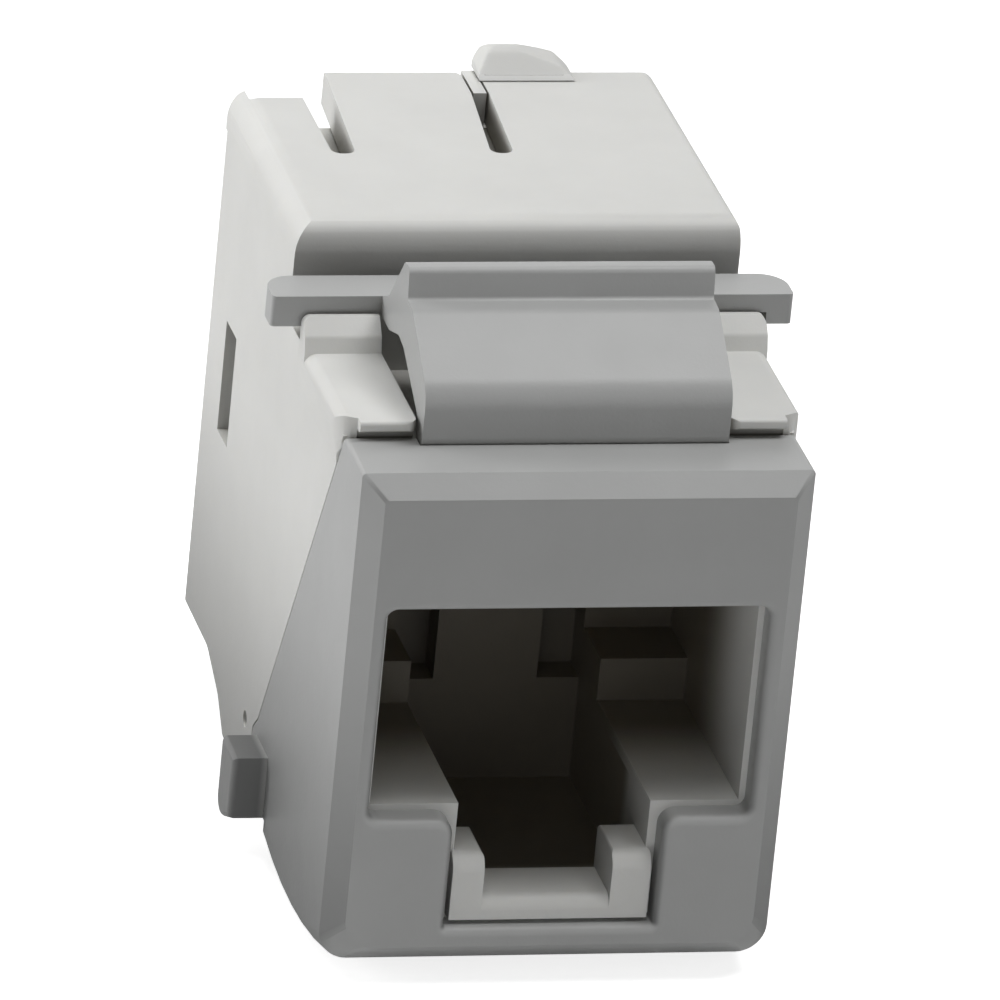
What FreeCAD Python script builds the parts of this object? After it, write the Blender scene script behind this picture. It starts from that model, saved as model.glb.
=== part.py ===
"""Keystone jack: a snap-in panel socket for an eight-contact modular plug.

All lengths are in millimetres. X runs across the width, +Y into the panel, +Z up.
The solids are built with the bezel's foot at Z 0 and its face at Y 0, and are moved
down by half the bezel's height as they are written, so that the origin lies at the
middle of the bezel's face.
"""
import FreeCAD, Part
import math
import os

V = FreeCAD.Vector

# Clearances
FIT_GAP = 0.05            # around moulded pieces that are pushed together
SLIDE_GAP = 0.08          # around the wire cap, which slides out
HINGE_GAP = 0.04          # radial, round the latch's barrel
SOLDER_GAP = 0.002        # between a solder tail's corners and its plated hole
OVERCUT = 0.5             # how far a cutting tool runs past the face it opens

# Front frame: bezel, foot, top strip and two sloping cheeks
FRAME_WIDTH = 14.5
FRAME_CORNER = 0.95       # radius of the two lower corners at the bezel
FOOT_CORNER = 0.25        # the same corners where the foot ends
FRAME_TOP_CORNER = 0.15
FACE_THICKNESS = 0.9
FACE_CHAMFER = 0.65
TOP_STRIP_DEPTH = 3.3
TOP_STRIP_THICKNESS = 1.4
FOOT_DEPTH = 9.0
FOOT_THICKNESS = 0.8
FOOT_BOW_RADIUS = 16.0    # of the foot's bowed underside, on which the jack rocks into its window
FOOT_BOW_PLACE = 4.4      # depth of the bow's lowest point
FOOT_STEPS = 6
CHEEK_EDGE = 0.5          # radius at the cheeks' lower rear corner
CHEEK_THICKNESS = 0.7
CHEEK_BACK = 11.6
CHEEK_TAIL_DEPTH = 11.0   # where the cheek's sloping rear edge ends
CHEEK_TAIL_HEIGHT = 3.4
LUG_DEPTH = 1.75          # the two side lugs that bear on the back of the panel
LUG_HEIGHT = 2.1
LUG_SAG = 0.7             # how far their undersides drop toward the rear
LUG_REACH = 1.49
LUG_EDGE = 0.2
SEAT_DEPTH = 9.2          # from the bezel's face to the faces of lugs and wings

# Plug port
CAVITY_WIDTH = 11.9
CAVITY_HEIGHT = 6.9
CAVITY_FLOOR = 5.2
CAVITY_DEPTH = 10.75      # from the bezel's face to the port's back wall
STOP_DEPTH = 8.35         # the two blocks at the shelves' ends that stop the plug
STOP_BLOCK_HEIGHT = 1.45
NOTCH_WIDTH = 6.2         # channel for the plug's latch
NOTCH_FLOOR = 1.4
PORT_STEP = 0.2           # how far the bezel's opening stands back from the cavity
NOTCH_STEP = 0.28         # the same, on the notch's sides
RIM_RADIUS = 0.3
PORT_CORNER = 0.35
SHELF_CORNER = 0.55
RECESS_INNER = 1.7        # two small recesses in the port's back wall
RECESS_OUTER = 3.1
RECESS_BOTTOM = 4.9
RECESS_HEIGHT = 2.6
RECESS_DEPTH = 1.2
HEAD_WALL = 0.85          # housing left between the carrier and the frame's top strip

# Plug catch: the U-shaped nose of the housing that fills the foot of the notch
CATCH_FRONT = 0.35
CATCH_DEPTH = 2.25        # thickness of its two posts
CATCH_HEIGHT = 2.2
CATCH_WIDTH = 6.4
CATCH_POST = 1.02
CATCH_RIGHT_POST = 1.25
CATCH_SILL = 0.75
CATCH_SILL_DEPTH = 2.3
CATCH_EDGE = 0.6
CATCH_SILL_EDGE = 0.45

# Jack housing
SHOULDER_RISE = 0.65      # of the shoulders beside the latch above the frame's top
SHOULDER_LIP = 0.28       # how far they reach over the frame's top strip
SHOULDER_LIP_THICKNESS = 0.35
SHOULDER_CORNER = 0.4
FLANK_BULGE = 0.25        # the shoulders' outer flanks swell past the side walls
FLANK_WIDTH = 0.65
FLANK_FOOT = 1.2          # start of the swelling below the frame's top
FLANK_EDGE = 0.4
FLANK_CORNER = 0.9        # radius of their front corners, seen from above
LATCH_SIDE_GAP = 0.1
RAMP_FRONT = 8.35         # the two ramps ahead of the wings
RAMP_RISE = 1.65          # above the frame's top
RAMP_RUN = 0.75
RAMP_KNEE = 0.5           # height of the steep part at a ramp's foot
RAMP_EDGE = 0.28          # radius along a ramp's outer top edge
WING_GAP = 0.12           # between ramps and wings
WING_BAY_RISE = 0.35      # floor of the bay that the wings sink into
ROOF_FRONT = 11.8
ROOF_RISE = 3.55          # above the frame's top
SHELL_DEPTH = 22.6
ROOF_OVERHANG = 1.85      # of the roof beyond the shell's rear
ROOF_REACH = SHELL_DEPTH + ROOF_OVERHANG
ROOF_THICKNESS = 1.15
ROOF_LEFT_RADIUS = 1.0
ROOF_RIGHT_RADIUS = 0.35
ROOF_FRONT_RADIUS = 1.0
ROOF_CORNER = 0.75
FINGER_CORNER = 0.5
SHELL_CORNER = 0.6
SHELL_SIDE_CORNER = 0.5   # radius of the rear's two upright edges
SHELL_WALL = 0.8
SHELL_FLOOR = 2.5         # underside of the housing at the rear
BELLY_FLOOR = 0.75        # underside of the housing in the middle
BELLY_END = 15.5
KEEL_HEIGHT = 1.7         # height of the bend between belly and rear
KEEL_DEPTH = 16.6
KEEL_END = 18.6
SLIT_WIDTH = 0.75         # the two slits that free the roof's spring finger
SLIT_FRONT = 17.6
LEFT_SLIT_EDGE = -4.85
RIGHT_SLIT_EDGE = 0.34
FINGER_SKEW = 0.46        # how far the finger leans to the right over its length
RIGHT_SLIT_SKEW = 0.3     # and the right slit's other edge
LEFT_ROOF_SETBACK = 0.4   # of the short left roof before the shell's rear
LEFT_ROOF_REACH = SHELL_DEPTH - LEFT_ROOF_SETBACK
LEFT_WALL_TOP = 0.65      # width left standing beside the short left roof
LEFT_WALL_OVERHANG = 0.35
LEFT_WALL_REACH = SHELL_DEPTH + LEFT_WALL_OVERHANG
WINDOW_FRONT = 18.4       # small windows in the side walls
WINDOW_WIDTH = 1.5
WINDOW_BOTTOM = 9.6
WINDOW_HEIGHT = 3.8
DIMPLE_RADIUS = 0.27      # moulding mark low on the left side
DIMPLE_SINK = 0.12
DIMPLE_PLACE = 12.7       # its depth behind the bezel's face
DIMPLE_HEIGHT = 2.65

# Contacts, their carrier and the circuit board
CONTACT_COUNT = 8
CONTACT_PITCH = 1.02
CONTACT_WIDTH = 0.45
CONTACT_THICKNESS = 0.3
CONTACT_RUN_RISE = 1.1    # above the port's ceiling
CONTACT_BEND = 0.45
CONTACT_SLOPE = 20.0      # degrees
CONTACT_TIP = 11.3
CONTACT_TIP_HEIGHT = 9.65
CARRIER_WIDTH = 10.5
CARRIER_FRONT = 2.65
CARRIER_COVER = 1.1       # above the contacts' runs
CARRIER_COMB_BOTTOM = 7.7
COMB_SLOT_WIDTH = 0.6
COMB_SLOT_BOTTOM = 9.0
COMB_SLOT_BACK = 12.1
BULKHEAD = 13.0           # front of the rear compartment, where the board seats
BOARD_THICKNESS = 1.0
BOARD_WIDTH = 12.4
BOARD_MARGIN = 0.35       # between the board's ends and the compartment

# Terminals and their block
TERMINAL_COLUMNS = 4
TERMINAL_PITCH = 2.9
TERMINAL_ROW_OFFSET = 4.55   # of each row from the board's middle
TERMINAL_WIDTH = 1.9
TERMINAL_THICKNESS = 0.4
TERMINAL_LENGTH = 5.4
TERMINAL_PIN = 0.5
TERMINAL_PIN_LENGTH = 0.95
TERMINAL_SLIT = 0.26
TERMINAL_SLIT_DEPTH = 3.2
TERMINAL_MOUTH = 1.0
BLOCK_BASE = 1.5
TOWER_WIDTH = 10.8
TOWER_HEIGHT = 3.2
TOWER_DEPTH = 4.7
WIRE_SLOT_WIDTH = 0.9
WIRE_SLOT_DEPTH = 3.0
POCKET_GAP = 0.05

# Wire cap
CAP_FRONT = 16.2
CAP_WALL = 0.7
CAP_BACK_THICKNESS = 1.2
CABLE_HOLE_RADIUS = 3.1
RIB_WIDTH = 0.7
RIB_REACH = 1.7
TAB_LEFT = 1.28
TAB_WIDTH = 3.2
TAB_OVERHANG = 0.75       # beyond the roof's edge
TAB_LENGTH = 1.7
TAB_BACK = ROOF_REACH + TAB_OVERHANG
TAB_FRONT = TAB_BACK - TAB_LENGTH
TAB_RISE = 0.78           # above the roof
TAB_SLOPE = 1.0           # run of the slope up its front
TAB_SHOULDER = 0.42       # height where its right side turns down
TAB_CORNER = 0.55
TAB_STEM = 2.4
TAB_STEM_DROP = 2.2
TAB_GAP = 0.12            # behind the roof's edge
TAB_HOVER = 0.04          # over the roof
GUIDE_LENGTH = 1.9        # upright guide on the cap that runs in the right slit
GUIDE_FRONT = ROOF_REACH - GUIDE_LENGTH

# Latch
LATCH_WIDTH = 9.85
LATCH_BARREL = 0.45       # radius
LATCH_AXIS_DEPTH = 3.15
LATCH_AXIS_RISE = 0.25    # of the barrel's axis above the frame's top
LATCH_HEEL = 1.75         # height where the upright root bends back
LATCH_SCOOP = 2.2         # radius of that bend
LATCH_LIP_DEPTH = 6.1
LATCH_LIP_FOOT = 3.45     # heights above the frame's top
LATCH_LIP_TOP = 4.45
LATCH_LIP_WIDTH = 0.75
LATCH_HEAD_DEPTH = 8.45   # the head's slope behind the lip
LATCH_HEAD_HEIGHT = 2.6
LATCH_BELLY = 1.95        # height of the underside below the lip
LATCH_BEND = 0.65         # height of the underside behind the root
WING_SPAN = 16.9
WING_DEPTH = 1.65
WING_THICKNESS = 0.62
WING_RISE = 2.2           # above the frame's top
WING_TIP_DROP = 0.4
WING_TIP_LEFT = 1.14      # widths of the turned-down tips
WING_TIP_RIGHT = 0.85
WING_CORNER = 0.9

# Places worked out from the sizes above
HALF_FRAME = FRAME_WIDTH / 2
CAVITY_TOP = CAVITY_FLOOR + CAVITY_HEIGHT
CONTACT_RUN_HEIGHT = CAVITY_TOP + CONTACT_RUN_RISE
CARRIER_TOP = CONTACT_RUN_HEIGHT + CARRIER_COVER
NOSE_HALF = HALF_FRAME - CHEEK_THICKNESS - FIT_GAP
NOSE_TOP = CARRIER_TOP + FIT_GAP + HEAD_WALL
FRAME_HEIGHT = NOSE_TOP + FIT_GAP + TOP_STRIP_THICKNESS
SHOULDER_HEIGHT = FRAME_HEIGHT + SHOULDER_RISE
RAMP_TOP = FRAME_HEIGHT + RAMP_RISE
WING_BAY_FLOOR = FRAME_HEIGHT + WING_BAY_RISE
WING_TOP = FRAME_HEIGHT + WING_RISE
ROOF_HEIGHT = FRAME_HEIGHT + ROOF_RISE
LUG_BOTTOM = FOOT_THICKNESS
LUG_BACK = SEAT_DEPTH + LUG_DEPTH
LUG_TOP = LUG_BOTTOM + LUG_HEIGHT
LIP_FRONT = TOP_STRIP_DEPTH - SHOULDER_LIP
POCKET_HALF = LATCH_WIDTH / 2 + LATCH_SIDE_GAP
COMPARTMENT_HALF = HALF_FRAME - SHELL_WALL
COMPARTMENT_FLOOR = SHELL_FLOOR + SHELL_WALL
COMPARTMENT_TOP = ROOF_HEIGHT - ROOF_THICKNESS
BOARD_BOTTOM = COMPARTMENT_FLOOR + BOARD_MARGIN
BOARD_TOP = COMPARTMENT_TOP - BOARD_MARGIN
BOARD_MIDDLE = (BOARD_BOTTOM + BOARD_TOP) / 2
BOARD_BACK = BULKHEAD + BOARD_THICKNESS
BLOCK_FACE = BOARD_BACK + BLOCK_BASE
TOWER_BACK = BLOCK_FACE + TOWER_DEPTH
CAP_BOTTOM = COMPARTMENT_FLOOR + SLIDE_GAP
CAP_TOP = COMPARTMENT_TOP - SLIDE_GAP
CAP_HALF = COMPARTMENT_HALF - SLIDE_GAP
CAP_INSIDE_BACK = SHELL_DEPTH - CAP_BACK_THICKNESS
LATCH_AXIS_HEIGHT = FRAME_HEIGHT + LATCH_AXIS_RISE
WING_FRONT = SEAT_DEPTH + 2 * FIT_GAP
WING_BOTTOM = WING_TOP - WING_THICKNESS
RAMP_BACK = WING_FRONT - WING_GAP
FINGER_RIGHT = RIGHT_SLIT_EDGE + FINGER_SKEW


def box(x0, x1, y0, y1, z0, z1):
    """Block between two opposite corners."""
    return Part.makeBox(x1 - x0, y1 - y0, z1 - z0, V(x0, y0, z0))


def rounded_wire(points, place):
    """Closed outline through (u, v) or (u, v, radius) corners, laid out by place(u, v)."""
    count = len(points)
    stations = []
    for index, point in enumerate(points):
        corner = V(point[0], point[1], 0)
        radius = point[2] if len(point) > 2 else 0
        before = points[index - 1]
        after = points[(index + 1) % count]
        back = (V(before[0], before[1], 0) - corner).normalize()
        ahead = (V(after[0], after[1], 0) - corner).normalize()
        if radius == 0:
            stations.append([corner])
            continue
        half_angle = back.getAngle(ahead) / 2
        reach = radius / math.tan(half_angle)
        bisector = (back + ahead).normalize()
        centre = corner + bisector * (radius / math.sin(half_angle))
        stations.append([corner + back * reach, centre - bisector * radius, corner + ahead * reach])
    edges = []
    for index, station in enumerate(stations):
        following = stations[(index + 1) % count]
        if len(station) == 3:
            edges.append(Part.Arc(*[place(p.x, p.y) for p in station]).toShape())
        start = place(station[-1].x, station[-1].y)
        end = place(following[0].x, following[0].y)
        if (end - start).Length > 1e-6:
            edges.append(Part.LineSegment(start, end).toShape())
    return Part.Wire(edges)


def side_prism(points, half_width):
    """(Y, Z) outline drawn across the width, the same distance to both sides."""
    outline = rounded_wire(points, lambda y, z: V(-half_width, y, z))
    return Part.Face(outline).extrude(V(2 * half_width, 0, 0))


def side_slab(points, x0, x1):
    """(Y, Z) outline drawn from x0 to x1."""
    outline = rounded_wire(points, lambda y, z: V(x0, y, z))
    return Part.Face(outline).extrude(V(x1 - x0, 0, 0))


def front_prism(points, y0, y1):
    """(X, Z) outline drawn from y0 to y1."""
    outline = rounded_wire(points, lambda x, z: V(x, y0, z))
    return Part.Face(outline).extrude(V(0, y1 - y0, 0))


def plan_prism(points, z0, z1):
    """(X, Y) outline drawn from z0 to z1."""
    outline = rounded_wire(points, lambda x, y: V(x, y, z0))
    return Part.Face(outline).extrude(V(0, 0, z1 - z0))


def round_edges(shape, radius, chosen):
    """Round every edge that the test picks."""
    return shape.makeFillet(radius, [edge for edge in shape.Edges if chosen(edge)])


def edge_in_plane(edge, axis, value):
    """True for an edge that lies whole in the plane where the axis has that value."""
    low = getattr(edge.BoundBox, axis + "Min")
    high = getattr(edge.BoundBox, axis + "Max")
    return abs(low - value) < 1e-4 and abs(high - value) < 1e-4


def round_corner(shape, corner, inward, radius, low, high):
    """Round an upright corner at (x, y); inward holds the signs that lead into the solid."""
    centre = V(corner[0] + inward[0] * radius, corner[1] + inward[1] * radius, low)
    outside = V(corner[0] - inward[0] * 0.1, corner[1] - inward[1] * 0.1, low)
    tool = box(min(centre.x, outside.x), max(centre.x, outside.x),
               min(centre.y, outside.y), max(centre.y, outside.y), low, high)
    return shape.cut(tool.cut(Part.makeCylinder(radius, high - low, centre)))


def mirrored(shape):
    """The shape's twin on the other side."""
    return shape.mirror(V(0, 0, 0), V(1, 0, 0))


def cheek_edge(height, offset=0.0):
    """Depth of the cheeks' sloping rear edge at a height, moved back by offset."""
    run = (CHEEK_TAIL_DEPTH - TOP_STRIP_DEPTH) / (FRAME_HEIGHT - CHEEK_TAIL_HEIGHT)
    return TOP_STRIP_DEPTH + (FRAME_HEIGHT - height) * run + offset


def bezel_outline(y, inset, corner, bottom=0.0):
    """Wire round the frame at depth y, drawn in on all sides by inset."""
    half = HALF_FRAME - inset
    top = FRAME_HEIGHT - inset
    low = bottom + inset
    return rounded_wire([(-half, low, corner), (half, low, corner), (half, top, FRAME_TOP_CORNER),
                         (-half, top, FRAME_TOP_CORNER)], lambda x, z: V(x, y, z))


def foot_outlines():
    """Wires round the frame from the chamfer to the cheeks' rear, lower where the foot bows."""
    half_chord = FOOT_BOW_PLACE - FACE_CHAMFER
    centre = math.sqrt(FOOT_BOW_RADIUS ** 2 - half_chord ** 2)
    wires = []
    for step in range(FOOT_STEPS + 1):
        share = step / FOOT_STEPS
        y = FACE_CHAMFER + share * (FOOT_DEPTH - FACE_CHAMFER)
        bottom = centre - math.sqrt(FOOT_BOW_RADIUS ** 2 - (y - FOOT_BOW_PLACE) ** 2)
        corner = FRAME_CORNER + share * (FOOT_CORNER - FRAME_CORNER)
        wires.append(bezel_outline(y, 0, corner, bottom))
    return wires + [bezel_outline(CHEEK_BACK, 0, FOOT_CORNER, bottom)]


def port_outline():
    """The bezel's opening: plug port with the notch for its latch below."""
    half = CAVITY_WIDTH / 2 + PORT_STEP
    notch = NOTCH_WIDTH / 2 + NOTCH_STEP
    shelf = CAVITY_FLOOR - PORT_STEP
    top = CAVITY_TOP + PORT_STEP / 2
    foot = NOTCH_FLOOR - PORT_STEP * 0.75
    corner = RIM_RADIUS / 3
    return [(-half, top, PORT_CORNER), (half, top, PORT_CORNER), (half, shelf, PORT_CORNER),
            (notch, shelf, SHELF_CORNER), (notch, foot, corner), (-notch, foot, corner),
            (-notch, shelf, SHELF_CORNER), (-half, shelf, PORT_CORNER)]


def front_frame():
    """Bezel with its chamfered face, foot, top strip, sloping cheeks and side lugs."""
    outlines = foot_outlines()
    face = bezel_outline(0, FACE_CHAMFER, FRAME_CORNER)
    frame = Part.makeLoft([face, outlines[0]], True, True).fuse(Part.makeLoft(outlines, True, True))
    side = [(0, -FOOT_THICKNESS), (FOOT_DEPTH, -FOOT_THICKNESS), (FOOT_DEPTH, LUG_BOTTOM),
            (CHEEK_BACK, LUG_BOTTOM), (CHEEK_BACK, LUG_TOP - FIT_GAP, CHEEK_EDGE),
            (CHEEK_TAIL_DEPTH, CHEEK_TAIL_HEIGHT), (TOP_STRIP_DEPTH, FRAME_HEIGHT), (0, FRAME_HEIGHT)]
    frame = frame.common(side_prism(side, HALF_FRAME))
    pocket_half = NOSE_HALF + FIT_GAP
    pocket_top = NOSE_TOP + FIT_GAP
    frame = frame.cut(box(-pocket_half, pocket_half, FACE_THICKNESS, CHEEK_BACK + OVERCUT,
                          FOOT_THICKNESS, pocket_top))
    port = front_prism(port_outline(), -OVERCUT, FACE_THICKNESS + OVERCUT)
    frame = frame.cut(port)
    limit = CAVITY_WIDTH / 2 + PORT_STEP + 1e-3
    frame = round_edges(frame, RIM_RADIUS, lambda edge: edge_in_plane(edge, "Y", 0)
                        and max(abs(edge.BoundBox.XMin), abs(edge.BoundBox.XMax)) < limit
                        and edge.BoundBox.ZMax < CAVITY_TOP + PORT_STEP
                        and edge.BoundBox.ZMin > FACE_CHAMFER + 1e-3)
    for side_sign in (-1, 1):
        frame = frame.fuse(lug(side_sign))
    barrel_half = LATCH_WIDTH / 2 + HINGE_GAP
    groove = Part.makeCylinder(LATCH_BARREL + HINGE_GAP, 2 * barrel_half,
                               V(-barrel_half, LATCH_AXIS_DEPTH, LATCH_AXIS_HEIGHT), V(1, 0, 0))
    return frame.cut(groove).removeSplitter()


def lug(side_sign):
    """One side lug, rounded on its outer edges."""
    outer = HALF_FRAME + LUG_REACH - CHEEK_THICKNESS / 2
    profile = [(SEAT_DEPTH, LUG_BOTTOM), (LUG_BACK, LUG_BOTTOM - LUG_SAG, 3 * LUG_EDGE),
               (LUG_BACK, LUG_TOP), (SEAT_DEPTH, LUG_TOP)]
    block = side_slab(profile, HALF_FRAME - LUG_EDGE / 4, outer)
    block = round_edges(block, LUG_EDGE, lambda edge: edge_in_plane(edge, "X", outer))
    return block if side_sign > 0 else mirrored(block)


def ramp_crest():
    """(Y, Z) points up a ramp's face and along its top."""
    return [(RAMP_FRONT, SHOULDER_HEIGHT), (RAMP_FRONT + RAMP_RUN / 5, SHOULDER_HEIGHT + RAMP_KNEE, 0.3),
            (RAMP_FRONT + RAMP_RUN - 0.1, RAMP_TOP, 0.05), (RAMP_BACK, RAMP_TOP)]


def shell_outline():
    """(Y, Z) outline of the housing where it stands at full width."""
    seam = FIT_GAP
    tail_top = CHEEK_TAIL_HEIGHT + seam
    lip_under = SHOULDER_HEIGHT - SHOULDER_LIP_THICKNESS
    return [(cheek_edge(FRAME_HEIGHT, seam), lip_under), (LIP_FRONT, lip_under, 0.12),
            (LIP_FRONT, SHOULDER_HEIGHT, 0.12)] + ramp_crest() + [
            (RAMP_BACK, WING_BAY_FLOOR), (ROOF_FRONT, WING_BAY_FLOOR),
            (ROOF_FRONT, ROOF_HEIGHT, ROOF_FRONT_RADIUS), (ROOF_REACH, ROOF_HEIGHT, 0.2),
            (ROOF_REACH, COMPARTMENT_TOP), (SHELL_DEPTH, COMPARTMENT_TOP),
            (SHELL_DEPTH, SHELL_FLOOR, SHELL_CORNER), (KEEL_END, SHELL_FLOOR, 1.5),
            (KEEL_DEPTH, KEEL_HEIGHT, 1.5), (BELLY_END, BELLY_FLOOR, 0.3),
            (CHEEK_BACK + seam, BELLY_FLOOR), (CHEEK_BACK + seam, LUG_TOP, CHEEK_EDGE),
            (cheek_edge(tail_top, seam), tail_top), (cheek_edge(NOSE_TOP, seam), NOSE_TOP)]


def shoulder_flank():
    """Outer part of the right shoulder and its ramp, rounded above and at the front."""
    outer = HALF_FRAME + FLANK_BULGE
    inner = outer - FLANK_WIDTH
    foot = FRAME_HEIGHT - FLANK_FOOT
    front = cheek_edge(FRAME_HEIGHT, FIT_GAP)
    pieces = []
    for top, edge in ((SHOULDER_HEIGHT, FLANK_EDGE), (RAMP_TOP, RAMP_EDGE)):
        section = [(inner, foot), (HALF_FRAME, foot), (outer, FRAME_HEIGHT), (outer, top, edge),
                   (inner, top)]
        pieces.append(front_prism(section, front, RAMP_BACK))
    shelf = [(cheek_edge(foot, FIT_GAP), foot), (front, FRAME_HEIGHT), (front, SHOULDER_HEIGHT),
             (RAMP_BACK, SHOULDER_HEIGHT), (RAMP_BACK, foot)]
    ramp = [(RAMP_FRONT, foot)] + ramp_crest() + [(RAMP_BACK, foot)]
    flank = pieces[0].common(side_slab(shelf, inner, outer))
    flank = flank.fuse(pieces[1].common(side_slab(ramp, inner, outer)))
    return round_corner(flank, (outer, front), (-1, 1), FLANK_CORNER, foot, RAMP_TOP)


def plug_cavity():
    """The plug's space, the notch below it and the chamber above for the carrier."""
    half = CAVITY_WIDTH / 2
    notch = NOTCH_WIDTH / 2
    carrier = CARRIER_WIDTH / 2 + FIT_GAP
    cavity = box(-half, half, 0, STOP_DEPTH, CAVITY_FLOOR, CAVITY_TOP)
    cavity = cavity.fuse(box(-half, half, 0, CAVITY_DEPTH, CAVITY_FLOOR + STOP_BLOCK_HEIGHT, CAVITY_TOP))
    cavity = cavity.fuse(box(-notch, notch, 0, CAVITY_DEPTH, NOTCH_FLOOR, CAVITY_TOP))
    for low, high in ((-RECESS_OUTER, -RECESS_INNER), (RECESS_INNER, RECESS_OUTER)):
        cavity = cavity.fuse(box(low, high, CAVITY_DEPTH - OVERCUT, CAVITY_DEPTH + RECESS_DEPTH,
                                 RECESS_BOTTOM, RECESS_BOTTOM + RECESS_HEIGHT))
    cavity = cavity.fuse(box(-carrier, carrier, CARRIER_FRONT - FIT_GAP, BULKHEAD + OVERCUT,
                             CAVITY_TOP - FIT_GAP, CARRIER_TOP + FIT_GAP))
    return cavity.fuse(box(-carrier, carrier, CAVITY_DEPTH - FIT_GAP, BULKHEAD + OVERCUT,
                           CARRIER_COMB_BOTTOM - FIT_GAP, CAVITY_TOP + FIT_GAP))


def plug_catch():
    """U-shaped nose in the foot of the notch, which holds the plug's latch."""
    half = CATCH_WIDTH / 2
    left = CATCH_POST - half
    right = half - CATCH_RIGHT_POST
    top = NOTCH_FLOOR + CATCH_HEIGHT
    sill = NOTCH_FLOOR + CATCH_SILL
    back = CATCH_FRONT + CATCH_DEPTH
    sill_back = CATCH_FRONT + CATCH_SILL_DEPTH
    groove = NOTCH_FLOOR + 0.1
    front_view = [(-half, NOTCH_FLOOR), (half, NOTCH_FLOOR), (half, top, 0.1), (right, top, 0.15),
                  (right, groove), (left, groove), (left, top, 0.15), (-half, top, 0.1)]
    side_view = [(CATCH_FRONT, NOTCH_FLOOR), (back, NOTCH_FLOOR), (back, top, 0.1),
                 (CATCH_FRONT, top, CATCH_EDGE)]
    posts = front_prism(front_view, CATCH_FRONT, back).common(side_prism(side_view, half))
    wall = NOTCH_WIDTH / 2
    for low, high in ((wall, half + OVERCUT), (-half - OVERCUT, -wall)):
        posts = posts.cut(box(low, high, FACE_THICKNESS, back + OVERCUT, 0, top + OVERCUT))
    tongue = side_slab([(CATCH_FRONT, NOTCH_FLOOR), (CATCH_FRONT, sill, CATCH_SILL_EDGE),
                        (sill_back, sill, 0.2), (sill_back, NOTCH_FLOOR)], left - 0.01, right + 0.01)
    return posts.fuse(tongue)


def roof_cuts():
    """What is taken from the roof's rear: two slits and the end of its short left part."""
    top = ROOF_HEIGHT + OVERCUT
    below = COMPARTMENT_TOP - OVERCUT
    back = ROOF_REACH + OVERCUT
    rounding = SLIT_WIDTH * 0.45
    left_end = LEFT_SLIT_EDGE + SLIT_WIDTH
    right_end = RIGHT_SLIT_EDGE + SLIT_WIDTH
    left = [(LEFT_SLIT_EDGE, back), (LEFT_SLIT_EDGE, SLIT_FRONT, rounding),
            (left_end, SLIT_FRONT, rounding), (left_end + FINGER_SKEW, back)]
    right = [(FINGER_RIGHT, back), (FINGER_RIGHT, GUIDE_FRONT), (RIGHT_SLIT_EDGE, SLIT_FRONT, rounding),
             (right_end, SLIT_FRONT, rounding), (right_end + RIGHT_SLIT_SKEW, GUIDE_FRONT),
             (right_end + RIGHT_SLIT_SKEW, back)]
    wall = LEFT_WALL_TOP - HALF_FRAME
    end = [(wall, LEFT_ROOF_REACH, 0.1), (left_end, LEFT_ROOF_REACH), (left_end, back), (wall, back)]
    stub = [(-HALF_FRAME - OVERCUT, LEFT_WALL_REACH), (left_end, LEFT_WALL_REACH), (left_end, back),
            (-HALF_FRAME - OVERCUT, back)]
    return [plan_prism(outline, below, top) for outline in (left, right, end, stub)]


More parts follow.
